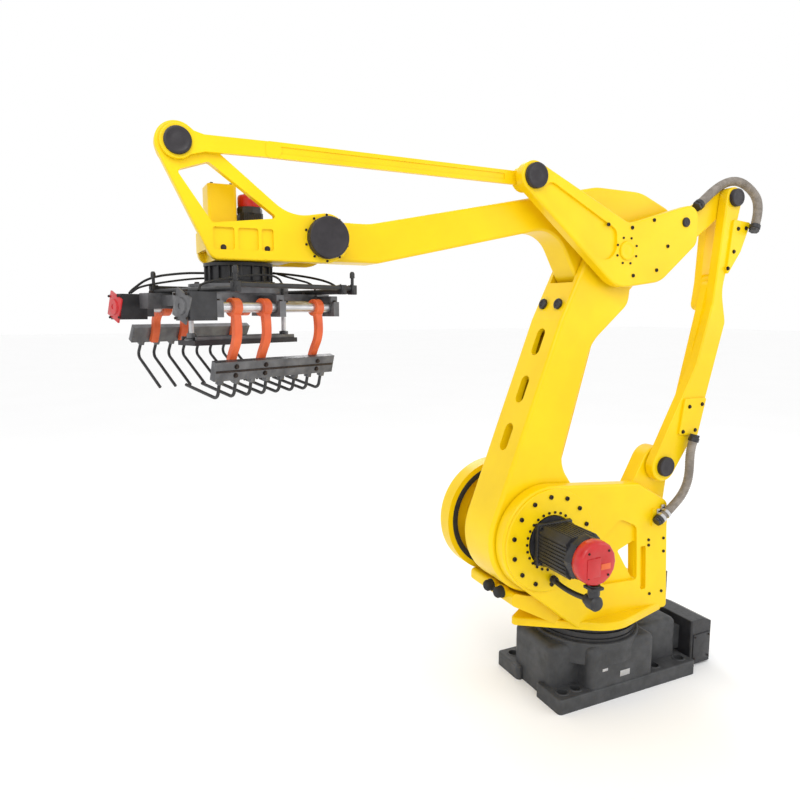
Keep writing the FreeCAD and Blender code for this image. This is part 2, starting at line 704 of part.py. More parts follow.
def cross_rod(name, radius, x, y, z):
    """A round bar across the gripper, between two y values."""
    bar = doc.addObject("Part::Cylinder", name)
    bar.Radius = radius
    bar.Height = y[1] - y[0]
    bar.Placement = Placement(Vector(x, y[0], z), Rotation(Vector(1, 0, 0), -90))
    return on_tool(bar)


def gripper_frame():
    low = size("plate_low")
    top = post("gripper_plate_disc", 188, low, "riser_low", (TOOL_X, 0))
    keep("gripper_plate", top)
    side, z = size("shaft_side"), size("shaft_z")
    beams = [on_tool(block(f"frame_beam{i}", (-330, 330), (y - 32, y + 32), (low - 56, low)))
             for i, y in enumerate((-118, 118))]
    ties = [on_tool(block(f"frame_tie{i}", (x - 17, x + 17), (-side - 20, side + 20),
                          (low - 46, low - 8))) for i, x in enumerate((-262, 0, 262))]
    ears = []
    for i, (x, y) in enumerate((x, y) for x in (-262, 0, 262) for y in (-side, side)):
        ears.append(on_tool(block(f"frame_ear{i}", (x - 14, x + 14), (y - 34, y + 34),
                                  (z - 34, low - 30))))
    bores = [long_rod(f"ear_bore{i}", 20, (-300, 300), y, z) for i, y in enumerate((-side, side))]
    keep("gripper_frame", cut("gripper_frame", fuse("frame_blank", beams + ties + ears), *bores))


def gripper_rails():
    z = size("plate_low") + 9
    rails = []
    for i, y in enumerate((-210, 330)):
        rails.append(long_rod(f"rail_long{i}", 9, (-305, 255), y, z + 13))
    for i, x in enumerate((-290, -236, 240)):
        rails.append(cross_rod(f"rail_cross{i}", 9, x, (-225, 345), z))
    for i, (x, y) in enumerate((x, y) for x in (-290, 240) for y in (-210, 330)):
        upright = post(f"rail_upright{i}", 6, z, z + 75, (x, y))
        rails.append(on_tool(upright))
    keep("gripper_rails", fuse("gripper_rails", rails))
    units = []
    for i, y in enumerate((-size("shaft_side"), size("shaft_side"))):
        unit = block(f"actuator{i}", (280, 380), (y - 44, y + 44),
                     (size("shaft_z") - 44, size("shaft_z") + 50))
        units.append(cut(f"actuator_case{i}", on_tool(unit),
                         long_rod(f"actuator_bore{i}", 18, (250, 332), y, size("shaft_z"))))
    keep("rake_actuators", group("rake_actuators", units))


def rake(name, side):
    """One rake: shaft, swing arms, beam and hooked tines; side is -1 or +1."""
    y, z = side * size("shaft_side"), size("shaft_z")
    beam_y, beam_z = side * (size("shaft_side") + 12), size(name + "_z")
    hinge = TOOL_PLACE.multVec(Vector(0, y, z))
    along_shaft = TOOL_PLACE.Rotation.multVec(Vector(1, 0, 0))
    swing = Placement(Vector(0, 0, 0), Rotation(along_shaft, size(name + "_swing")), hinge)

    def swung(part):
        part.Placement = swing.multiply(part.Placement)
        return part

    half = size("rake_half")
    keep(name + "_shaft", long_rod(name + "_shaft", 17.95, (-290, 330), y, z))
    arms = []
    for i, x in enumerate((-185, 60, 185)):
        clamp = long_rod(f"{name}_clamp{i}", 32, (x - 17, x + 17), y, z)
        low, high = sorted((y - side * 12, beam_y + side * 20))
        leg = on_tool(block(f"{name}_leg{i}", (x - 17, x + 17), (low, high),
                            (beam_z - 26, z)))
        bore = long_rod(f"{name}_armbore{i}", 18, (x - 20, x + 20), y, z)
        arms.append(cut(f"{name}_arm{i}", fuse(f"{name}_armblank{i}", [clamp, leg]), bore))
    inner = beam_y + (20 if side > 0 else -20)
    low, high = sorted((inner, inner + side * 26))
    keep(name + "_arms", swung(group(name + "_arms", arms)))
    keep(name + "_beam", swung(on_tool(block(name + "_beam", (-half, half), (low, high),
                                             (beam_z - 34, beam_z + 34)))))
    tines = []
    count, pitch = int(size("tine_count")), size("tine_pitch")
    radius = size("tine_radius")
    middle = (low + high) / 2
    for i in range(count):
        x = (i - (count - 1) / 2) * pitch + (8 if side > 0 else -8)
        points = [Vector(x, middle, beam_z - 34), Vector(x, middle, beam_z - 104),
                  Vector(x, middle - side * 205, beam_z - 122)]
        tines.append(tube(f"{name}_tine{i}", points, [24], radius))
    compound = solid_shape(name + "_tines", Part.makeCompound(tines))
    keep(name + "_tines", swung(on_tool(compound)))


def press_pad():
    low = size("plate_low")
    pad = on_tool(block("press_pad", (-235, 235), (-58, 58), (low - 190, low - 172)))
    keep("press_pad", pad)
    rods = [on_tool(post(f"pad_rod{i}", 9, low - 172, low + 20, (x, 0)))
            for i, x in enumerate((-212, 212))]
    keep("pad_rods", group("pad_rods", rods))
    guides = [on_tool(cut(f"pad_guide_case{i}",
                          block(f"pad_guide_blank{i}", (x - 20, x + 20), (-86, 86),
                                (low - 52, low - 10)),
                          post(f"pad_guide_bore{i}", 9.05, low - 60, low, (x, 0))))
              for i, x in enumerate((-212, 212))]
    keep("pad_guides", group("pad_guides", guides))


# ---------------------------------------------------------------- hoses

def hoses():
    radius = size("hose_radius")
    side = size("post_out") + 12 + radius
    lower = tube("lower_hose", [
        Vector(-262, side, 868), Vector(-346, side, 921), Vector(-425, side + 3, 990),
        Vector(-458, side + 8, 1078), Vector(-446, side + 14, 1215),
        Vector(-470, side + 16, 1290)], [300, 180, 180, 300], radius)
    keep("lower_hose", solid_shape("lower_hose", lower))
    upper = tube("upper_hose", [
        Vector(-470, 172, 2440), Vector(-650, 150, 2566), Vector(-803, 135, 2600),
        Vector(-892, 168, 2528), Vector(-838, 232, 2440), Vector(-800, 243, 2335)],
        [200, 90, 80, 200], radius)
    keep("upper_hose", solid_shape("upper_hose", upper))


def check_and_write():
    doc.recompute()
    for item in doc.Objects:
        if "Invalid" in item.State or "Error" in item.State:
            raise RuntimeError(f"{item.Name} failed: {item.State}")
    os.makedirs("parts", exist_ok=True)
    for part in NODES:
        shape = part.Shape
        if shape.isNull() or not shape.isValid() or not shape.Solids:
            raise RuntimeError(f"{part.Label} has no valid solid")
        shape.exportStep(f"parts/{part.Label}.step")
        print(f"{part.Label:22s} solids {len(shape.Solids):2d}  volume {shape.Volume / 1e6:9.3f} l")


base_casting()
base_fittings()
turret_casting()
shoulder_drives()
turret_fittings()
lower_arm()
arm_plugs()
back_link()
rear_pins()
levelling_triangle()
top_link()
forearm()
elbow_drive()
wrist_casting()
tool_drive()
gripper_frame()
gripper_rails()
rake("near_rake", 1)
rake("far_rake", -1)
press_pad()
hoses()
check_and_write()
print("nodes", len(NODES))
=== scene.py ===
import json
import math

import bmesh
import bpy
from mathutils import Matrix, Vector


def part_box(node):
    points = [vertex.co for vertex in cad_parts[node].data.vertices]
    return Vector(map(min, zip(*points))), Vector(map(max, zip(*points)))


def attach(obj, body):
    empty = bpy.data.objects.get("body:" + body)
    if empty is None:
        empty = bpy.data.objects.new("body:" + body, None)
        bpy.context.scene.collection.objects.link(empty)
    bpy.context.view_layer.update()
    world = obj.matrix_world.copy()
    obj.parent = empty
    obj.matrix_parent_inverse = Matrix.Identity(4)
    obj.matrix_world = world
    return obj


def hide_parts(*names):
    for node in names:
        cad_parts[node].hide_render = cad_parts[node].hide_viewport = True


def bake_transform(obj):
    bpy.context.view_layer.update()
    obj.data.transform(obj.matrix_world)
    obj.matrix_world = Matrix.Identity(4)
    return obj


# Looks of the palletising robot: materials, fasteners, caps, hoses and covers
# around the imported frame. Metres, row frame: +X reach, +Y left, +Z up.

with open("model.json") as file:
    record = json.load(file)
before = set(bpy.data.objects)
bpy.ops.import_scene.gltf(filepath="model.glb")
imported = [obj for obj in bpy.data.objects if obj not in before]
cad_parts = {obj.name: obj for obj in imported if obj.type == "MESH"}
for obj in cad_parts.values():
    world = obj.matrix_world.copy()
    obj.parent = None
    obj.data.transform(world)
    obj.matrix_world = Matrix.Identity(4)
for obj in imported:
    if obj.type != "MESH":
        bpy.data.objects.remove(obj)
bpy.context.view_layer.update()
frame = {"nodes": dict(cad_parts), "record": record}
SLOT_OF = {part["node"]: part["material_slot"] for part in frame["record"]["subparts"]}


# ---------------------------------------------------------------- materials

def link(tree, source, target):
    tree.links.new(source, target)


def noise(tree, scale, detail):
    """Noise in the object's own metres."""
    where = tree.nodes.new("ShaderNodeTexCoord")
    texture = tree.nodes.new("ShaderNodeTexNoise")
    texture.inputs["Scale"].default_value = scale
    texture.inputs["Detail"].default_value = detail
    texture.inputs["Roughness"].default_value = 0.55
    link(tree, where.outputs["Object"], texture.inputs["Vector"])
    return texture.outputs["Fac"]


def ramp(tree, source, stops):
    """Colours at given values of a source, blended between."""
    node = tree.nodes.new("ShaderNodeValToRGB")
    node.color_ramp.elements[0].position = stops[0][0]
    node.color_ramp.elements[1].position = stops[-1][0]
    for position, colour in stops[1:-1]:
        node.color_ramp.elements.new(position)
    for element, (position, colour) in zip(node.color_ramp.elements, stops):
        element.position = position
        element.color = (*colour, 1.0)
    link(tree, source, node.inputs["Fac"])
    return node.outputs["Color"]


def grey(value):
    return (value, value, value)


def bump(tree, shader, height, strength, distance):
    """Fine relief on a shader's surface; distance is in metres."""
    node = tree.nodes.new("ShaderNodeBump")
    node.inputs["Strength"].default_value = strength
    node.inputs["Distance"].default_value = distance
    link(tree, height, node.inputs["Height"])
    link(tree, node.outputs["Normal"], shader.inputs["Normal"])


def material(name, dark, light, rough, metallic=0.0, grain=40.0, peel=(600.0, 0.1, 0.0004),
             coat=0.0, specular=0.5):
    """A painted, moulded or cast surface: mottled colour, uneven gloss, fine relief."""
    made = bpy.data.materials.new(name)
    made.use_nodes = True
    tree = made.node_tree
    shader = tree.nodes["Principled BSDF"]
    shader.inputs["Metallic"].default_value = metallic
    shader.inputs["Coat Weight"].default_value = coat
    shader.inputs["Coat Roughness"].default_value = 0.12
    shader.inputs["Specular IOR Level"].default_value = specular
    cloud = noise(tree, grain, 5.0)
    colour = ramp(tree, cloud, [(0.35, dark), (0.65, light)])
    link(tree, colour, shader.inputs["Base Color"])
    gloss = ramp(tree, noise(tree, grain * 2.3, 4.0),
                 [(0.3, grey(rough[0])), (0.7, grey(rough[1]))])
    link(tree, gloss, shader.inputs["Roughness"])
    scale, strength, distance = peel
    bump(tree, shader, noise(tree, scale, 2.0), strength, distance)
    return made


def brushed(name, dark, light, rough):
    """Turned or drawn metal with fine lines."""
    made = material(name, dark, light, rough, metallic=1.0, grain=25.0)
    tree = made.node_tree
    shader = tree.nodes["Principled BSDF"]
    where = tree.nodes.new("ShaderNodeTexCoord")
    stretch = tree.nodes.new("ShaderNodeMapping")
    stretch.inputs["Scale"].default_value = (30.0, 900.0, 900.0)
    link(tree, where.outputs["Object"], stretch.inputs["Vector"])
    lines = tree.nodes.new("ShaderNodeTexNoise")
    lines.inputs["Scale"].default_value = 1.0
    lines.inputs["Detail"].default_value = 2.0
    link(tree, stretch.outputs["Vector"], lines.inputs["Vector"])
    bump(tree, shader, lines.outputs["Fac"], 0.15, 0.0003)
    return made


PAINT = dict(grain=3.0, peel=(420.0, 0.12, 0.0005), coat=0.06, specular=0.28)
MATERIALS = {
    "yellow_paint": material("yellow_paint", (0.84, 0.56, 0.001), (0.92, 0.64, 0.001),
                             (0.30, 0.42), **PAINT),
    "yellow_alloy": material("yellow_alloy", (0.84, 0.56, 0.001), (0.92, 0.64, 0.001),
                             (0.30, 0.42), **PAINT),
    "base_iron": material("base_iron", (0.030, 0.031, 0.033), (0.052, 0.053, 0.056),
                          (0.50, 0.66), grain=14.0, peel=(260.0, 0.35, 0.0012)),
    "black_cap": material("black_cap", (0.012, 0.009, 0.012), (0.020, 0.016, 0.020),
                          (0.42, 0.55), grain=30.0, peel=(500.0, 0.15, 0.0004)),
    "black_steel": material("black_steel", (0.010, 0.010, 0.011), (0.020, 0.020, 0.022),
                            (0.35, 0.5), grain=30.0, peel=(400.0, 0.2, 0.0004)),
    "motor_black": material("motor_black", (0.012, 0.012, 0.014), (0.024, 0.024, 0.027),
                            (0.38, 0.52), grain=25.0, peel=(500.0, 0.25, 0.0006)),
    "motor_red": material("motor_red", (0.47, 0.006, 0.009), (0.56, 0.010, 0.014),
                          (0.28, 0.38), grain=12.0, peel=(500.0, 0.1, 0.0004), coat=0.2),
    "steel": brushed("steel", (0.50, 0.50, 0.51), (0.62, 0.62, 0.63), (0.28, 0.40)),
    "bolt_black": material("bolt_black", (0.020, 0.014, 0.012), (0.045, 0.032, 0.026),
                           (0.40, 0.6), metallic=0.6, grain=80.0),
    "rubber": material("rubber", (0.010, 0.010, 0.010), (0.018, 0.018, 0.018), (0.7, 0.85),
                       grain=40.0, peel=(300.0, 0.3, 0.0008)),
    "hose_grey": material("hose_grey", (0.19, 0.165, 0.14), (0.30, 0.265, 0.23),
                          (0.65, 0.8), grain=30.0, peel=(350.0, 0.5, 0.0012)),
    "gripper_grey": material("gripper_grey", (0.10, 0.10, 0.105), (0.17, 0.17, 0.175),
                             (0.35, 0.5), metallic=0.7, grain=18.0,
                             peel=(350.0, 0.15, 0.0004)),
    "orange_paint": material("orange_paint", (0.60, 0.085, 0.018), (0.72, 0.125, 0.028),
                             (0.35, 0.5), grain=14.0, peel=(420.0, 0.2, 0.0005)),
}
for name, node in frame["nodes"].items():
    node.data.materials.clear()
    node.data.materials.append(MATERIALS[SLOT_OF[name]])


# ---------------------------------------------------------------- building blocks

PIVOT = {joint["name"]: Vector(joint["pos_m"])
         for joint in frame["record"]["behaviour"]["joints"] if "pos_m" in joint}
SHOULDER, ELBOW, WRIST = PIVOT["j2_lower_arm"], PIVOT["j3_forearm"], PIVOT["wrist_level"]
TOWER, REAR, FORK = PIVOT["back_link_tower"], PIVOT["triangle_rear"], PIVOT["top_link_turn"]
NOSE = FORK + WRIST - ELBOW
AHEAD, LEFT, UP = Vector((1, 0, 0)), Vector((0, 1, 0)), Vector((0, 0, 1))


def low_corner(node):
    return Vector(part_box(node)[0])


def high_corner(node):
    return Vector(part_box(node)[1])


def centre(node):
    return (low_corner(node) + high_corner(node)) / 2


def at_side(pivot, y):
    """The point of a joint axis along Y at one side face."""
    return Vector((pivot.x, y, pivot.z))


def facing(place, axis):
    """A frame at a place with its own Z along an axis."""
    return Matrix.Translation(place) @ UP.rotation_difference(axis).to_matrix().to_4x4()


def piece(name, made, slot, body, *nodes, crease=35.0):
    """Make an object of the mesh and let it ride, standing for CAD nodes where given."""
    bmesh.ops.recalc_face_normals(made, faces=made.faces)
    mesh = bpy.data.meshes.new(name)
    made.to_mesh(mesh)
    made.free()
    for polygon in mesh.polygons:
        polygon.use_smooth = True
    mesh.set_sharp_from_angle(angle=math.radians(crease))
    mesh.materials.append(MATERIALS[slot])
    item = bpy.data.objects.new(name, mesh)
    bpy.context.scene.collection.objects.link(item)
    if body:
        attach(item, body)
    if nodes:
        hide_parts(*nodes)
    return item


def lathe(made, matrix, profile, count=40, closed=False):
    """Turn (height, radius) points round a frame's Z; a third number makes a ring many-sided."""
    rings = []
    for height, radius, *sides in profile:
        if radius == 0:
            rings.append([made.verts.new(matrix @ Vector((0, 0, height)))])
            continue
        ring = []
        for i in range(count):
            turn = 2 * math.pi * i / count
            reach = radius
            if sides:
                wedge = 2 * math.pi / sides[0]
                reach *= math.cos(wedge / 2) / math.cos(turn % wedge - wedge / 2)
            spot = Vector((reach * math.cos(turn), reach * math.sin(turn), height))
            ring.append(made.verts.new(matrix @ spot))
        rings.append(ring)
    if closed:
        rings.append(rings[0])
    for low, high in zip(rings, rings[1:]):
        for i in range(count):
            j = (i + 1) % count
            quad = (low[i % len(low)], low[j % len(low)], high[j % len(high)], high[i % len(high)])
            corners = list(dict.fromkeys(quad))
            if len(corners) > 2:
                made.faces.new(corners)


def prism(made, matrix, outline, low, high, bevel):
    """A straight block over a plan outline, all its edges bevelled."""
    floor = [made.verts.new(matrix @ Vector((x, y, low))) for x, y in outline]
    roof = [made.verts.new(matrix @ Vector((x, y, high))) for x, y in outline]
    made.faces.new(floor[::-1])
    made.faces.new(roof)
    for i in range(len(outline)):
        j = (i + 1) % len(outline)
        made.faces.new((floor[i], floor[j], roof[j], roof[i]))
    edges = dict.fromkeys(edge for vert in floor + roof for edge in vert.link_edges)
    bmesh.ops.bevel(made, geom=list(edges), offset=bevel, segments=2, profile=0.5,
                    affect="EDGES")


def slab(made, matrix, low, high, bevel=0.002):
    """A bevelled box between two corners of a frame."""
    outline = [(low[0], low[1]), (high[0], low[1]), (high[0], high[1]), (low[0], high[1])]
    prism(made, matrix, outline, low[2], high[2], bevel)


def socket_screw(made, place, axis, radius, height):
    """The head of a socket-head cap screw, standing on a face."""
    edge, well = radius * 0.14, radius * 0.55
    lathe(made, facing(place, axis), [
        (-0.001, 0), (-0.001, radius), (height - edge, radius), (height, radius - edge),
        (height, well, 6), (height * 0.4, well, 6), (height * 0.4, 0)], 24)


def hex_bolt(made, place, axis, radius, height):
    """A hexagon head on a washer."""
    washer = height * 0.2
    lathe(made, facing(place, axis), [
        (-0.001, 0), (-0.001, radius * 1.3), (washer, radius * 1.3), (washer, radius, 6),
        (height * 0.86, radius, 6), (height, radius * 0.84), (height, 0)], 24)


def cover(made, place, axis, radius, height):
    """A round cover with a rolled rim, a groove and a shallow dished face."""
    lathe(made, facing(place, axis), [
        (0, 0), (0, radius), (height * 0.45, radius), (height * 0.5, radius - 0.0015),
        (height * 0.55, radius), (height - 0.005, radius), (height - 0.0015, radius - 0.002),
        (height, radius - 0.006), (height - 0.001, radius - 0.011),
        (height - 0.0025, radius - 0.015), (height - 0.0015, radius * 0.4), (height, 0)], 64)


def smooth_path(points, rounds=4):
    """Cut the corners of a polyline again and again, its ends kept."""
    for _ in range(rounds):
        finer = [points[0]]
        for a, b in zip(points, points[1:]):
            finer += [a.lerp(b, 0.25), a.lerp(b, 0.75)]
        points = finer + [points[-1]]
    return points


def resample(points, step):
    """Points about one step apart along a polyline."""
    spans = [(b - a).length for a, b in zip(points, points[1:])]
    total = sum(spans)
    count = max(2, round(total / step))
    result, i, passed = [], 0, 0.0
    for k in range(count + 1):
        goal = total * k / count
        while i < len(spans) - 1 and passed + spans[i] < goal:
            passed += spans[i]
            i += 1
        result.append(points[i].lerp(points[i + 1], min(1.0, (goal - passed) / spans[i])))
    return result


def sweep(made, points, radius, step=0.01, count=16, ribs=None):
    """A closed tube along a smoothed polyline; ribs is (pitch, depth)."""
    line = resample(smooth_path(points), step)
    ahead = (line[1] - line[0]).normalized()
    across = ahead.orthogonal().normalized()
    rings = []
    for i, spot in enumerate(line):
        ahead = (line[min(i + 1, len(line) - 1)] - line[max(i - 1, 0)]).normalized()
        across = (across - ahead * across.dot(ahead)).normalized()
        other = ahead.cross(across)
        reach = radius
        if ribs:
            pitch, depth = ribs
            wave = 2 * math.pi * (step * i) / pitch
            reach -= depth * (0.5 - 0.5 * math.cos(wave))
        rings.append([made.verts.new(spot + across * reach * math.cos(turn)
                                     + other * reach * math.sin(turn))
                      for turn in (2 * math.pi * k / count for k in range(count))])
    for low, high in zip(rings, rings[1:]):
        for k in range(count):
            made.faces.new((low[k], low[(k + 1) % count], high[(k + 1) % count], high[k]))
    made.faces.new(rings[0][::-1])
    made.faces.new(rings[-1])
    return line


def hoop(made, place, axis, inner, thickness, width):
    """A band round a hose."""
    outer = inner + thickness
    lathe(made, facing(place, axis), [
        (-width / 2, inner), (-width / 2, outer), (width / 2, outer), (width / 2, inner)],
        32, closed=True)


def round_places(count, radius, offset=0.5):
    """Evenly spaced offsets round an axis along Y."""
    for i in range(count):
        turn = 2 * math.pi * (i + offset) / count
        yield Vector((math.cos(turn), 0, math.sin(turn))) * radius


# ---------------------------------------------------------------- base

FOOT_TOP = 0.074
FOOT_HOLE_X, FOOT_HOLE_Y = (0.298, 0.218, -0.298, -0.478), (-0.208, 0.208)
FLANK_Y = 0.262


def base_details():
    rims = bmesh.new()
    for x in FOOT_HOLE_X:
        for y in FOOT_HOLE_Y:
            lathe(rims, facing(Vector((x, y, FOOT_TOP)), UP), [
                (-0.001, 0.0262), (0.003, 0.0262), (0.003, 0.033), (-0.001, 0.036)],
                36, closed=True)
    piece("foot_hole_rims", rims, "base_iron", "base")
    ring = bmesh.new()
    low, high = low_corner("j1_bearing_ring").z, high_corner("j1_bearing_ring").z
    wide, bore = high_corner("j1_bearing_ring").x, 0.205
    lathe(ring, Matrix.Identity(4), [
        (low, bore), (low, wide), (low + 0.016, wide), (low + 0.018, wide - 0.006),
        (low + 0.024, wide - 0.006), (low + 0.026, wide), (high - 0.020, wide),
        (high - 0.018, wide - 0.009), (high - 0.008, wide - 0.009), (high - 0.006, wide),
        (high, wide), (high, bore)], 128, closed=True)
    piece("bearing_ring", ring, "black_steel", "base", "j1_bearing_ring")
    plates = bmesh.new()
    for x, z, wide, tall in ((-0.050, 0.122, 0.062, 0.030), (0.080, 0.165, 0.034, 0.014)):
        slab(plates, Matrix.Identity(4), (x - wide / 2, FLANK_Y - 0.001, z - tall / 2),
             (x + wide / 2, FLANK_Y + 0.0015, z + tall / 2), 0.0006)
    piece("blank_plates", plates, "steel", "base")
    box_low, box_high = low_corner("connector_box"), high_corner("connector_box")
    lid = bmesh.new()
    slab(lid, Matrix.Identity(4), (box_low.x + 0.016, box_high.y - 0.001, box_low.z + 0.022),
         (box_high.x - 0.016, box_high.y + 0.005, box_high.z - 0.080), 0.003)
    for z in (0.055, 0.110, 0.165):
        lathe(lid, facing(Vector((box_low.x + 0.001, 0.005, z)), -AHEAD), [
            (0, 0), (0, 0.026), (0.006, 0.026), (0.006, 0.020), (0.030, 0.020),
            (0.030, 0.023, 8), (0.046, 0.023, 8), (0.046, 0.016), (0.050, 0)], 32)
        lathe(lid, facing(Vector((box_low.x + 0.001, 0.105, z)), -AHEAD), [
            (0, 0), (0, 0.022), (0.005, 0.022), (0.005, 0.017), (0.022, 0.017),
            (0.022, 0.019, 6), (0.034, 0.019, 6), (0.034, 0.010), (0.036, 0)], 32)
    piece("connector_lid", lid, "motor_black", "base")
    screws = bmesh.new()
    for x in (box_low.x + 0.026, box_high.x - 0.026):
        for z in (box_low.z + 0.034, box_high.z - 0.094):
            socket_screw(screws, Vector((x, box_high.y + 0.005, z)), LEFT, 0.005, 0.004)
    piece("base_screws", screws, "bolt_black", "base")


# ---------------------------------------------------------------- motors

def finned(half, depth, pitch, corner):
    """Plan of a square housing with cooling grooves along its four sides."""
    side = []
    count = int((half - corner) * 2 / pitch)
    start = -count * pitch / 2
    for k in range(count):
        at = start + k * pitch
        side += [(half, at), (half, at + pitch * 0.5), (half - depth, at + pitch * 0.55),
                 (half - depth, at + pitch * 0.95)]
    side += [(half, start + count * pitch), (half, half - corner), (half - corner, half)]
    side.insert(0, (half, corner - half))
    outline = []
    for x, y in ((1, 0), (0, 1), (-1, 0), (0, -1)):
        outline += [(x * a - y * b, y * a + x * b) for a, b in side]
    return outline


def motor(name, body, matrix, reach, half, cap_reach, rim, nodes):
    """A servo motor: flange, finned housing, end bell, and a faceted red cover."""
    case = bmesh.new()
    slab(case, matrix, (-half, -half, 0), (half, half, reach * 0.10), half * 0.06)
    prism(case, matrix, finned(half * 0.95, half * 0.05, half * 0.17, half * 0.26),
          reach * 0.10, reach * 0.84, half * 0.006)
    lathe(case, matrix, [(reach * 0.84, 0), (reach * 0.84, half * 1.06, 8),
                         (reach * 0.96, half * 1.06, 8), (reach, half * 1.0, 8), (reach, 0)], 64)
    for x, y in ((1, 1), (1, -1), (-1, 1), (-1, -1)):
        spot = matrix @ Vector((x * half * 0.84, y * half * 0.84, reach * 0.10))
        socket_screw(case, spot, matrix.to_3x3() @ UP, half * 0.085, half * 0.10)
    slab(case, matrix, (-half * 0.30, -half * 1.0, reach * 0.55),
         (half * 0.30, -half * 0.9, reach * 0.80), half * 0.03)
    piece(name + "_case", case, "motor_black", body, nodes[0])
    red = bmesh.new()
    lathe(red, matrix @ Matrix.Translation((0, 0, reach)), [
        (0.0, 0), (0.0, rim * 0.95), (cap_reach * 0.08, rim * 0.98, 16),
        (cap_reach * 0.14, rim, 16), (cap_reach * 0.70, rim, 16),
        (cap_reach * 0.88, rim * 0.94, 16), (cap_reach * 0.93, rim * 0.88, 16),
        (cap_reach * 0.93, rim * 0.30), (cap_reach * 0.90, rim * 0.26),
        (cap_reach * 0.90, 0)], 64)
    top = reach + cap_reach * 0.93
    slab(red, matrix, (-rim * 0.62, -rim * 0.55, top - 0.001),
         (rim * 0.10, rim * 0.30, reach + cap_reach * 0.985), rim * 0.02)
    piece(name + "_cover", red, "motor_red", body, nodes[1])
    small = bmesh.new()
    for k in range(4):
        turn = math.pi * (0.25 + 0.5 * k)
        spot = Vector((math.cos(turn) * rim * 0.76, math.sin(turn) * rim * 0.76, top))
        socket_screw(small, matrix @ spot, matrix.to_3x3() @ UP, rim * 0.055, cap_reach * 0.05)
    piece(name + "_cover_screws", small, "bolt_black", body)
    tag = bmesh.new()
    slab(tag, matrix, (rim * 0.14, -rim * 0.28, top - 0.0005),
         (rim * 0.66, -rim * 0.02, top + 0.001), 0.0004)
    piece(name + "_blank_tag", tag, "orange_paint", body)


def side_motors():
    """Both shoulder motors, the near one pointing left and the far one right."""
    near = at_side(SHOULDER, 0.206)
    reach = high_corner("j2_motor").y - near.y
    cap = high_corner("j2_motor_cap").y - high_corner("j2_motor").y
    turned = Matrix.Rotation(math.radians(180), 4, "Z")
    motor("j2_drive", "turret", facing(near, LEFT) @ turned, reach, 0.100, cap, 0.100,
          ("j2_motor", "j2_motor_cap"))
    nose = bmesh.new()
    lathe(nose, facing(at_side(SHOULDER, 0.1245), LEFT), [
        (0, 0.046), (0, 0.121), (0.0815, 0.121), (0.0815, 0.046)], 64, closed=True)
    piece("j2_drive_nose", nose, "motor_black", "turret")
    far = at_side(SHOULDER, -0.344)
    reach = far.y - low_corner("j3_motor").y
    cap = low_corner("j3_motor").y - low_corner("j3_motor_cap").y
    motor("j3_drive", "turret", facing(far, -LEFT), reach, 0.100, cap, 0.100,
          ("j3_motor", "j3_motor_cap"))
    nose = bmesh.new()
    lathe(nose, facing(at_side(SHOULDER, -0.246), -LEFT), [
        (0, 0.046), (0, 0.121), (0.098, 0.121), (0.098, 0.046)], 64, closed=True)
    piece("j3_drive_nose", nose, "motor_black", "turret")


# ---------------------------------------------------------------- turret

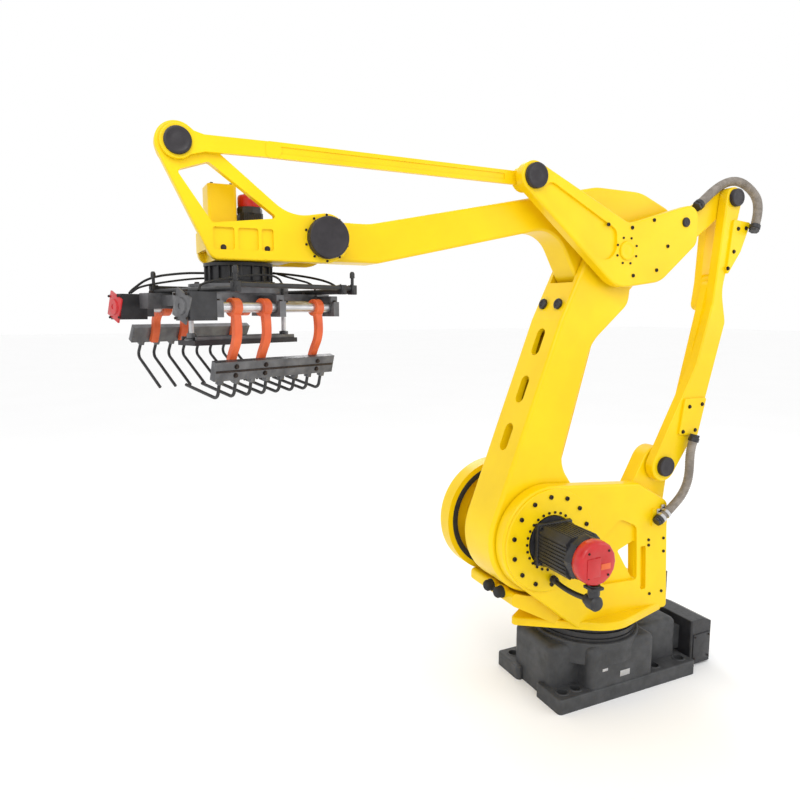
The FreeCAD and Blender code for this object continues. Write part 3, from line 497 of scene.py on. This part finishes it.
def turret_details():
    flange_y = high_corner("j2_flange_ring").y
    screws = bmesh.new()
    for offset in round_places(14, 0.213, 0.41):
        socket_screw(screws, at_side(SHOULDER, flange_y) + offset, LEFT, 0.0105, 0.0085)
    piece("flange_screws", screws, "bolt_black", "turret", "j2_flange_bolts")
    small = bmesh.new()
    for offset in round_places(26, 0.138, 0.0):
        socket_screw(small, at_side(SHOULDER, flange_y) + offset, LEFT, 0.0065, 0.0050)
    cheek_y = 0.190
    for x, z in ((-0.238, 0.763), (-0.240, 0.735), (-0.341, 0.758), (-0.346, 0.687),
                 (-0.262, 0.470), (-0.345, 0.470)):
        socket_screw(small, Vector((x, cheek_y, z)), LEFT, 0.0075, 0.006)
    arm_y = 0.142
    for offset in round_places(8, 0.062):
        socket_screw(small, at_side(TOWER, arm_y) + offset, LEFT, 0.0055, 0.005)
    for offset in round_places(16, 0.185):
        socket_screw(small, at_side(SHOULDER, -0.342) + offset, -LEFT, 0.0095, 0.008)
    piece("turret_screws", small, "bolt_black", "turret")
    seal = bmesh.new()
    lathe(seal, facing(at_side(SHOULDER, -0.2485), LEFT), [
        (0, 0.246), (0, 0.273), (0.0045, 0.272), (0.0055, 0.268), (0.0055, 0.250),
        (0.0045, 0.246)], 128, closed=True)
    piece("elbow_drive_seal", seal, "rubber", "turret")
    rubber, seats = bmesh.new(), bmesh.new()
    front = low_corner("bump_stops").x
    reach = high_corner("bump_stops").x - front
    for y in (0.046, -0.044):
        place = Vector((front, y, centre("bump_stops").z))
        lathe(rubber, facing(place, AHEAD), [
            (0, 0), (0, 0.030), (reach * 0.25, 0.030), (reach * 0.30, 0.027),
            (reach * 0.72, 0.027), (reach * 0.92, 0.021), (reach, 0.010), (reach, 0)], 40)
        lathe(seats, facing(place, AHEAD), [(-0.024, 0), (-0.024, 0.024), (0.004, 0.033),
                                            (0.004, 0)], 40)
    piece("bumpers", rubber, "rubber", "turret", "bump_stops")
    piece("bumper_seats", seats, "yellow_paint", "turret")
    plug = bmesh.new()
    box_high = high_corner("j2_connectors")
    axis_x, drop_y, level = centre("j2_connectors").x, 0.497, 0.672
    lathe(plug, facing(Vector((axis_x, drop_y, box_high.z)), -UP), [
        (0, 0), (0, 0.027), (0.008, 0.027), (0.008, 0.023), (0.020, 0.023), (0.020, 0.027, 12),
        (0.044, 0.027, 12), (0.044, 0.024), (0.078, 0.024), (0.078, 0)], 48)
    lathe(plug, facing(Vector((axis_x, 0.452, level)), LEFT), [
        (0, 0), (0, 0.024), (0.010, 0.030, 6), (0.026, 0.030, 6), (0.028, 0.034),
        (0.066, 0.034), (0.076, 0.026), (0.078, 0)], 48)
    sweep(plug, [Vector((axis_x, 0.456, level)), Vector((axis_x, 0.370, level - 0.012)),
                 Vector((axis_x + 0.003, 0.290, level - 0.010)),
                 Vector((axis_x, 0.218, level))], 0.0125, 0.004, 20)
    lathe(plug, facing(Vector((axis_x, 0.218, level)), LEFT), [
        (0, 0), (0, 0.020), (0.010, 0.020), (0.010, 0.018, 6), (0.026, 0.018, 6),
        (0.030, 0.013), (0.030, 0)], 36)
    slab(plug, Matrix.Identity(4), (axis_x - 0.032, 0.464, box_high.z - 0.020),
         (axis_x + 0.032, 0.526, box_high.z - 0.006), 0.003)
    piece("drive_plug", plug, "motor_black", "turret", "j2_connectors")


# ---------------------------------------------------------------- links

def link_details():
    plate_y = 0.200
    caps = bmesh.new()
    reach = high_corner("back_link_caps").y - plate_y
    cover(caps, at_side(TOWER, plate_y), LEFT, 0.050, reach)
    cover(caps, at_side(REAR, plate_y), LEFT, 0.044, reach)
    piece("link_covers", caps, "black_cap", "back_link", "back_link_caps")
    cap = bmesh.new()
    cover(cap, at_side(FORK, plate_y), LEFT, 0.054, high_corner("triangle_cap").y - plate_y)
    cover(cap, Vector((-0.367, plate_y, 2.354)), LEFT, 0.023, 0.010)
    piece("triangle_covers", cap, "black_cap", "triangle", "triangle_cap")
    screws = bmesh.new()
    for x, z in ((-0.026, 2.311), (-0.160, 2.353), (-0.044, 2.091), (-0.190, 2.120),
                 (-0.255, 2.235), (0.118, 2.318)):
        socket_screw(screws, Vector((x, plate_y, z)), LEFT, 0.0085, 0.006)
    for offset in round_places(8, 0.062):
        socket_screw(screws, at_side(ELBOW, plate_y) + offset, LEFT, 0.0055, 0.004)
    piece("triangle_screws", screws, "bolt_black", "triangle")
    bracket_y = high_corner("back_link_brackets").y
    screws = bmesh.new()
    for x, z in ((-0.415, 1.315), (-0.500, 1.318), (-0.452, 1.442), (-0.540, 1.450),
                 (-0.665, 2.140), (-0.700, 2.225), (-0.722, 2.340), (-0.778, 2.345)):
        hex_bolt(screws, Vector((x, bracket_y, z)), LEFT, 0.008, 0.007)
    piece("bracket_bolts", screws, "bolt_black", "back_link")
    plugs = bmesh.new()
    along = (ELBOW - SHOULDER).normalized()
    outward = Vector((along.z, 0, -along.x))
    middle = centre("lower_arm_plugs")
    for y in (-0.057, 0.057):
        place = Vector((middle.x, y, middle.z)) - outward * 0.007
        lathe(plugs, facing(place, outward), [
            (0, 0), (0, 0.026), (0.009, 0.026), (0.013, 0.022), (0.013, 0.014),
            (0.010, 0.012), (0.010, 0)], 40)
    piece("arm_plugs", plugs, "black_cap", "lower_arm", "lower_arm_plugs")
    elbow = bmesh.new()
    cover(elbow, at_side(ELBOW, low_corner("elbow_cap").y), LEFT, 0.044, 0.008)
    piece("elbow_cover", elbow, "yellow_alloy", "forearm", "elbow_cap")


HOSE_RADIUS = 0.0225
LOWER_ROUTE = [(-0.262, 0.221, 0.868), (-0.346, 0.221, 0.921), (-0.425, 0.224, 0.990),
               (-0.458, 0.229, 1.078), (-0.446, 0.235, 1.215), (-0.470, 0.237, 1.290)]
UPPER_ROUTE = [(-0.800, 0.243, 2.335), (-0.838, 0.232, 2.440), (-0.892, 0.168, 2.528),
               (-0.803, 0.135, 2.600), (-0.650, 0.150, 2.566), (-0.470, 0.172, 2.440)]


def hose(name, route, body_a, body_b, node):
    """A ribbed conduit between two bodies, with a gland at each end."""
    points = [Vector(point) for point in route]
    tube = bmesh.new()
    line = sweep(tube, points, HOSE_RADIUS, 0.0015, 24, ribs=(0.009, 0.0022))
    item = piece(name, tube, "hose_grey", None, node, crease=60.0)
    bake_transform(item)
    for body, end, inward in ((body_a, 0, 1), (body_b, -1, -1)):
        ahead = (line[end + 8 * inward] - line[end]).normalized()
        gland = bmesh.new()
        lathe(gland, facing(line[end] - ahead * 0.010, ahead), [
            (0, 0), (0, 0.0245, 6), (0.014, 0.0245, 6), (0.016, 0.0265), (0.034, 0.0265),
            (0.037, 0.0240), (0.037, 0)], 36)
        piece(name + "_gland_" + body, gland, "motor_black", body)


def hoses():
    hose("lower_conduit", LOWER_ROUTE, "turret", "back_link", "lower_hose")
    hose("upper_conduit", UPPER_ROUTE, "back_link", "triangle", "upper_hose")
    saddle = bmesh.new()
    pad_y = high_corner("tower_hose_clamp").y
    start = Vector(LOWER_ROUTE[0])
    ahead = (Vector(LOWER_ROUTE[1]) - start).normalized()
    for distance in (0.030, 0.064):
        spot = start + ahead * distance
        hoop(saddle, spot, ahead, HOSE_RADIUS + 0.0002, 0.004, 0.016)
        slab(saddle, Matrix.Translation((spot.x, 0, spot.z)),
             (-0.012, pad_y - 0.001, -0.040), (0.012, pad_y + 0.006, 0.040), 0.0015)
        for z in (-0.033, 0.033):
            socket_screw(saddle, Vector((spot.x, pad_y + 0.006, spot.z + z)), LEFT, 0.005, 0.005)
    piece("tower_saddle", saddle, "steel", "turret")


# ---------------------------------------------------------------- wrist

def wrist_details():
    side_y = high_corner("wrist_casting").y
    caps = bmesh.new()
    cover(caps, at_side(WRIST, side_y), LEFT, 0.078, high_corner("wrist_side_cap").y - side_y)
    piece("wrist_cover", caps, "black_cap", "wrist", "wrist_side_cap")
    cap = bmesh.new()
    nose_y = low_corner("nose_cap").y
    cover(cap, at_side(NOSE, nose_y), LEFT, 0.046, high_corner("nose_cap").y - nose_y)
    piece("nose_cover", cap, "black_cap", "wrist", "nose_cap")
    screws = bmesh.new()
    far_y = low_corner("wrist_casting").y
    for around in round_places(10, 1.0):
        socket_screw(screws, at_side(WRIST, side_y) + around * 0.0855, LEFT, 0.0045, 0.004)
        socket_screw(screws, at_side(WRIST, far_y) + around * 0.070, -LEFT, 0.006, 0.005)
    for x in (1.694, 1.852):
        hex_bolt(screws, Vector((x, side_y - 0.010, 2.150)), LEFT, 0.008, 0.008)
    top = high_corner("j4_gearbox")
    low = low_corner("j4_gearbox")
    for x in (low.x + 0.018, top.x - 0.018):
        for y in (low.y + 0.018, top.y - 0.018):
            socket_screw(screws, Vector((x, y, top.z)), UP, 0.006, 0.005)
    piece("wrist_screws", screws, "bolt_black", "wrist")
    low, high = low_corner("j4_motor"), high_corner("j4_motor")
    middle = centre("j4_motor")
    motor("j4_drive", "wrist", facing(Vector((middle.x, middle.y, low.z)), UP),
          high.z - low.z, 0.046, high_corner("j4_motor_cap").z - high.z, 0.046,
          ("j4_motor", "j4_motor_cap"))


# ---------------------------------------------------------------- gripper

TOOL_YAW = 23.0
TOOL_X = PIVOT["j4_tool_turn"].x
TOOL = Matrix.Translation((TOOL_X, 0, 0)) @ Matrix.Rotation(math.radians(TOOL_YAW), 4, "Z")
PLATE_LOW = low_corner("gripper_plate").z
SHAFT_Y, SHAFT_Z = 0.235, 1.938
RAIL_X, RAIL_Y = (-0.290, -0.236, 0.240), (-0.210, 0.330)
# side, height of the beam, and how many degrees the rake stands open
RAKES = {"near_rake": (1, 1.725, -15.0), "far_rake": (-1, 1.795, -30.0)}


def on_tool(x, y, z):
    return TOOL @ Vector((x, y, z))


def tool_axis(x, y, z):
    return TOOL.to_3x3() @ Vector((x, y, z))


def riser():
    low, high = low_corner("tool_riser").z, high_corner("tool_riser").z
    wide, neck, shoulder = 0.130, 0.0595, 2.104
    drum = bmesh.new()
    lathe(drum, Matrix.Translation((TOOL_X, 0, 0)), [
        (low, 0), (low, wide), (low + 0.012, wide), (low + 0.015, wide - 0.010),
        (shoulder - 0.015, wide - 0.010), (shoulder - 0.012, wide), (shoulder, wide),
        (shoulder, neck), (high, neck), (high, 0)], 96)
    for i in range(18):
        turned = TOOL @ Matrix.Rotation(2 * math.pi * i / 18, 4, "Z")
        slab(drum, turned, (wide - 0.012, -0.004, low + 0.010),
             (wide - 0.001, 0.004, shoulder - 0.010), 0.001)
    piece("riser_drum", drum, "motor_black", "tool", "tool_riser")
    screws = bmesh.new()
    top = high_corner("gripper_plate").z
    for i in range(12):
        turn = 2 * math.pi * (i + 0.5) / 12
        socket_screw(screws, on_tool(0.162 * math.cos(turn), 0.162 * math.sin(turn), top), UP,
                     0.0085, 0.008)
    for x in (-0.300, -0.220, 0.220, 0.300):
        for y in (-0.118, 0.118):
            hex_bolt(screws, on_tool(x, y, PLATE_LOW), UP, 0.008, 0.009)
    piece("plate_screws", screws, "bolt_black", "tool")


def cylinders():
    """Air cylinders along both shafts, with their fittings and tubes."""
    barrel, ends, tubes = bmesh.new(), bmesh.new(), bmesh.new()
    for side in (-1, 1):
        y, z = side * 0.178, SHAFT_Z + 0.006
        start = facing(on_tool(-0.232, y, z), tool_axis(1, 0, 0))
        lathe(barrel, start, [(0, 0), (0, 0.019), (0.165, 0.019), (0.165, 0.007),
                              (0.215, 0.007), (0.215, 0)], 32)
        for x in (-0.236, -0.070):
            slab(ends, TOOL, (x - 0.010, y - 0.021, z - 0.021), (x + 0.010, y + 0.021, z + 0.021))
            lathe(ends, facing(on_tool(x, y, z + 0.020), UP), [
                (0, 0), (0, 0.007, 6), (0.008, 0.007, 6), (0.010, 0.005), (0.016, 0.005),
                (0.016, 0)], 18)
        slab(ends, TOOL, (-0.020, y - 0.013, z - 0.013), (0.004, y + 0.013, z + 0.013))
        sweep(tubes, [on_tool(-0.236, y, z + 0.034), on_tool(-0.230, y, z + 0.085),
                      on_tool(-0.170, side * 0.130, z + 0.105),
                      on_tool(-0.120, side * 0.060, z + 0.130)], 0.004, 0.004, 10)
        sweep(tubes, [on_tool(-0.070, y, z + 0.034), on_tool(-0.064, y + side * 0.010, z + 0.100),
                      on_tool(0.020, side * 0.190, z + 0.118),
                      on_tool(0.290, side * 0.205, z + 0.078),
                      on_tool(0.320, side * SHAFT_Y, 1.992)], 0.004, 0.004, 10)
    piece("air_cylinders", barrel, "steel", "tool")
    piece("cylinder_heads", ends, "motor_black", "tool")
    sweep(tubes, [on_tool(-0.126, 0.010, 2.075), on_tool(-0.200, 0.020, 2.075),
                  on_tool(-0.262, 0.100, 2.062), on_tool(-0.286, 0.200, 2.040),
                  on_tool(-0.290, 0.255, 2.012)], 0.0045, 0.004, 10)
    sweep(tubes, [on_tool(0.090, -0.092, 2.070), on_tool(0.150, -0.150, 2.070),
                  on_tool(0.235, -0.250, 2.055), on_tool(0.300, -0.262, 2.006),
                  on_tool(0.325, -SHAFT_Y, 1.992)], 0.0045, 0.004, 10)
    piece("air_tubes", tubes, "rubber", "tool")


def frame_details():
    clamps, caps, covers, screws = bmesh.new(), bmesh.new(), bmesh.new(), bmesh.new()
    rail_z = PLATE_LOW + 0.0155
    for x in RAIL_X:
        for y in RAIL_Y:
            slab(clamps, TOOL, (x - 0.013, y - 0.013, rail_z - 0.018),
                 (x + 0.013, y + 0.013, rail_z + 0.018))
            socket_screw(clamps, on_tool(x + 0.008, y, rail_z + 0.018), UP, 0.003, 0.003)
    for x in (RAIL_X[0], RAIL_X[-1]):
        for y in RAIL_Y:
            lathe(clamps, facing(on_tool(x, y, high_corner("gripper_rails").z - 0.024), UP), [
                (0, 0), (0, 0.0095), (0.016, 0.0095), (0.021, 0.008), (0.0245, 0.005),
                (0.0245, 0)], 24)
    piece("rail_clamps", clamps, "black_steel", "tool")
    for y in (-SHAFT_Y, SHAFT_Y):
        end = facing(on_tool(0.380, y, SHAFT_Z + 0.003), tool_axis(1, 0, 0))
        cover_plate = covers if y > 0 else caps
        slab(cover_plate, end, (-0.047, -0.044, -0.001), (0.047, 0.044, 0.006), 0.0015)
        lathe(cover_plate, end, [(0.005, 0), (0.005, 0.030), (0.012, 0.028), (0.012, 0.010, 6),
                                 (0.010, 0.010, 6), (0.010, 0)], 36)
        for x in (0.262, 0.0, -0.262):
            for shift in (-0.024, 0.024):
                hex_bolt(screws, on_tool(x, y + shift, PLATE_LOW - 0.030), UP, 0.0055, 0.006)
        for across in (-0.036, 0.036):
            for up in (-0.036, 0.042):
                socket_screw(screws, on_tool(0.386, y + across, SHAFT_Z + up),
                             tool_axis(1, 0, 0), 0.0045, 0.004)
    piece("far_actuator_end", caps, "motor_red", "tool")
    piece("near_actuator_end", covers, "gripper_grey", "tool")
    piece("frame_bolts", screws, "bolt_black", "tool")
    ribs = bmesh.new()
    low = low_corner("press_pad").z
    for y in (-0.048, 0.048):
        slab(ribs, TOOL, (-0.225, y - 0.004, low + 0.016), (0.225, y + 0.004, low + 0.032), 0.001)
    for x in (-0.212, 0.212):
        lathe(ribs, facing(on_tool(x, 0.0, low + 0.017), UP), [
            (0, 0.0095), (0, 0.026), (0.006, 0.026), (0.010, 0.018), (0.026, 0.018),
            (0.028, 0.0095)], 32, closed=True)
    piece("pad_ribs", ribs, "gripper_grey", "press")


def rake_frame(name):
    """The tool's frame turned about one rake's shaft, as far as that rake stands open."""
    side, _, angle = RAKES[name]
    shaft = Matrix.Translation((0, side * SHAFT_Y, SHAFT_Z))
    return TOOL @ shaft @ Matrix.Rotation(math.radians(angle), 4, "X") @ shaft.inverted()


def curved_arm(made, frame_of, x, side, beam_z):
    """An arm that bows outward from its shaft clamp down to the beam."""
    half = 0.015
    drop = SHAFT_Z - beam_z
    route = smooth_path([Vector((0, SHAFT_Y, SHAFT_Z)), Vector((0, 0.258, SHAFT_Z - 0.16 * drop)),
                         Vector((0, 0.278, SHAFT_Z - 0.48 * drop)),
                         Vector((0, 0.257, SHAFT_Z - 0.80 * drop)),
                         Vector((0, 0.254, beam_z - 0.023))], 3)
    rings = []
    for i, spot in enumerate(route):
        ahead = (route[min(i + 1, len(route) - 1)] - route[max(i - 1, 0)]).normalized()
        across = Vector((0, ahead.z, -ahead.y))
        thick = 0.013 - 0.003 * i / len(route)
        ring = []
        for a, b in ((-half, -0.8), (-0.8 * half, -1), (0.8 * half, -1), (half, -0.8),
                     (half, 0.8), (0.8 * half, 1), (-0.8 * half, 1), (-half, 0.8)):
            place = spot + across * thick * b
            ring.append(made.verts.new(frame_of @ Vector((x + a, side * place.y, place.z))))
        rings.append(ring)
    for low, high in zip(rings, rings[1:]):
        for k in range(8):
            made.faces.new((low[k], low[(k + 1) % 8], high[(k + 1) % 8], high[k]))
    made.faces.new(rings[0])
    made.faces.new(rings[-1][::-1])
    clamp = facing(frame_of @ Vector((x - 0.017, side * SHAFT_Y, SHAFT_Z)),
                   tool_axis(1, 0, 0))
    lathe(made, clamp, [(0, 0.018), (0, 0.030), (0.002, 0.032), (0.032, 0.032),
                        (0.034, 0.030), (0.034, 0.018)], 48, closed=True)


ARM_X = (-0.185, 0.060, 0.185)
BEAM_FACE = SHAFT_Y + 0.058
BEAM_HALF_LENGTH, BEAM_HALF_THICK = 0.270, 0.013
TINE_COUNT, TINE_PITCH, TINE_SHIFT = 8, 0.066, 0.008


def rake_details(name):
    side, beam_z, _ = RAKES[name]
    frame_of = rake_frame(name)
    turn = frame_of.to_3x3()
    outward, upward = turn @ (LEFT * side), turn @ UP
    arms = bmesh.new()
    for x in ARM_X:
        curved_arm(arms, frame_of, x, side, beam_z)
    piece(name + "_bowed_arms", arms, "orange_paint", name, name + "_arms")
    screws = bmesh.new()
    for x in ARM_X:
        for z in (beam_z - 0.016, beam_z + 0.016):
            hex_bolt(screws, frame_of @ Vector((x, side * BEAM_FACE, z)), outward, 0.007, 0.007)
        socket_screw(screws, frame_of @ Vector((x, side * (SHAFT_Y - 0.010), SHAFT_Z + 0.029)),
                     upward, 0.005, 0.006)
    strip = sorted((side * BEAM_FACE, side * (BEAM_FACE + 0.0015)))
    slab(screws, frame_of, (0.004 - BEAM_HALF_LENGTH, strip[0], beam_z - 0.004),
         (BEAM_HALF_LENGTH - 0.004, strip[1], beam_z + 0.004), 0.0004)
    piece(name + "_beam_bolts", screws, "bolt_black", name)
    holders = bmesh.new()
    middle = BEAM_FACE - BEAM_HALF_THICK
    for i in range(TINE_COUNT):
        x = (i - (TINE_COUNT - 1) / 2) * TINE_PITCH + TINE_SHIFT * side
        slab(holders, frame_of, (x - 0.010, side * middle - 0.011, beam_z - 0.050),
             (x + 0.010, side * middle + 0.011, beam_z - 0.030), 0.0015)
    for x in (-BEAM_HALF_LENGTH, BEAM_HALF_LENGTH):
        end = sorted((x, x - math.copysign(0.004, x)))
        slab(holders, frame_of, (end[0] - 0.001, side * middle - 0.012, beam_z - 0.033),
             (end[1] + 0.001, side * middle + 0.012, beam_z + 0.033), 0.0015)
    piece(name + "_tine_holders", holders, "gripper_grey", name)


base_details()
side_motors()
turret_details()
link_details()
hoses()
wrist_details()
riser()
cylinders()
frame_details()
rake_details("near_rake")
rake_details("far_rake")


# ---------------------------------------------------------------- stage, light, camera

def stage_floor():
    """A wide, flat pale floor."""
    mesh = bpy.data.meshes.new("floor")
    made = bmesh.new()
    bmesh.ops.create_grid(made, x_segments=8, y_segments=8, size=60.0)
    made.to_mesh(mesh)
    made.free()
    floor = bpy.data.objects.new("floor", mesh)
    bpy.context.scene.collection.objects.link(floor)
    pale = material("floor_paint", (0.965, 0.965, 0.965), (0.975, 0.975, 0.975), (0.85, 0.95),
                    grain=0.6, peel=(30.0, 0.02, 0.0005), specular=0.2)
    mesh.materials.append(pale)


def area_light(name, place, aim, size, power):
    lamp = bpy.data.lights.new(name, "AREA")
    lamp.shape = "RECTANGLE"
    lamp.size, lamp.size_y = size
    lamp.energy = power
    made = bpy.data.objects.new(name, lamp)
    made.location = place
    direction = Vector(aim) - Vector(place)
    made.rotation_euler = direction.to_track_quat("-Z", "Y").to_euler()
    bpy.context.scene.collection.objects.link(made)


def lights():
    world = bpy.data.worlds.new("studio")
    world.use_nodes = True
    world.node_tree.nodes["Background"].inputs["Color"].default_value = (1.0, 1.0, 1.0, 1.0)
    world.node_tree.nodes["Background"].inputs["Strength"].default_value = 1.0
    bpy.context.scene.world = world
    middle = (0.5, 0.0, 1.3)
    area_light("key", (3.4, 4.6, 5.6), middle, (3.0, 3.0), 130.0)
    area_light("fill", (-4.5, 4.0, 3.2), middle, (3.5, 3.5), 45.0)
    area_light("rim", (-1.0, -5.0, 4.5), middle, (3.0, 2.0), 60.0)


EYE = Vector((2.307, 2.636, 1.925))
CAMERA_YAW, CAMERA_PITCH, LENS = 25.0, 7.6, 30.0


def camera():
    yaw, pitch = math.radians(CAMERA_YAW), math.radians(CAMERA_PITCH)
    level = Vector((-math.sin(yaw), -math.cos(yaw), 0.0))
    ahead = level * math.cos(pitch) + Vector((0.0, 0.0, -math.sin(pitch)))
    data = bpy.data.cameras.new("camera")
    data.sensor_width = 36.0
    data.lens = LENS
    data.clip_end = 200.0
    made = bpy.data.objects.new("camera", data)
    made.location = EYE
    made.rotation_euler = ahead.to_track_quat("-Z", "Y").to_euler()
    bpy.context.scene.collection.objects.link(made)
    bpy.context.scene.camera = made


stage_floor()
lights()
camera()
bpy.context.scene.view_settings.view_transform = "Standard"
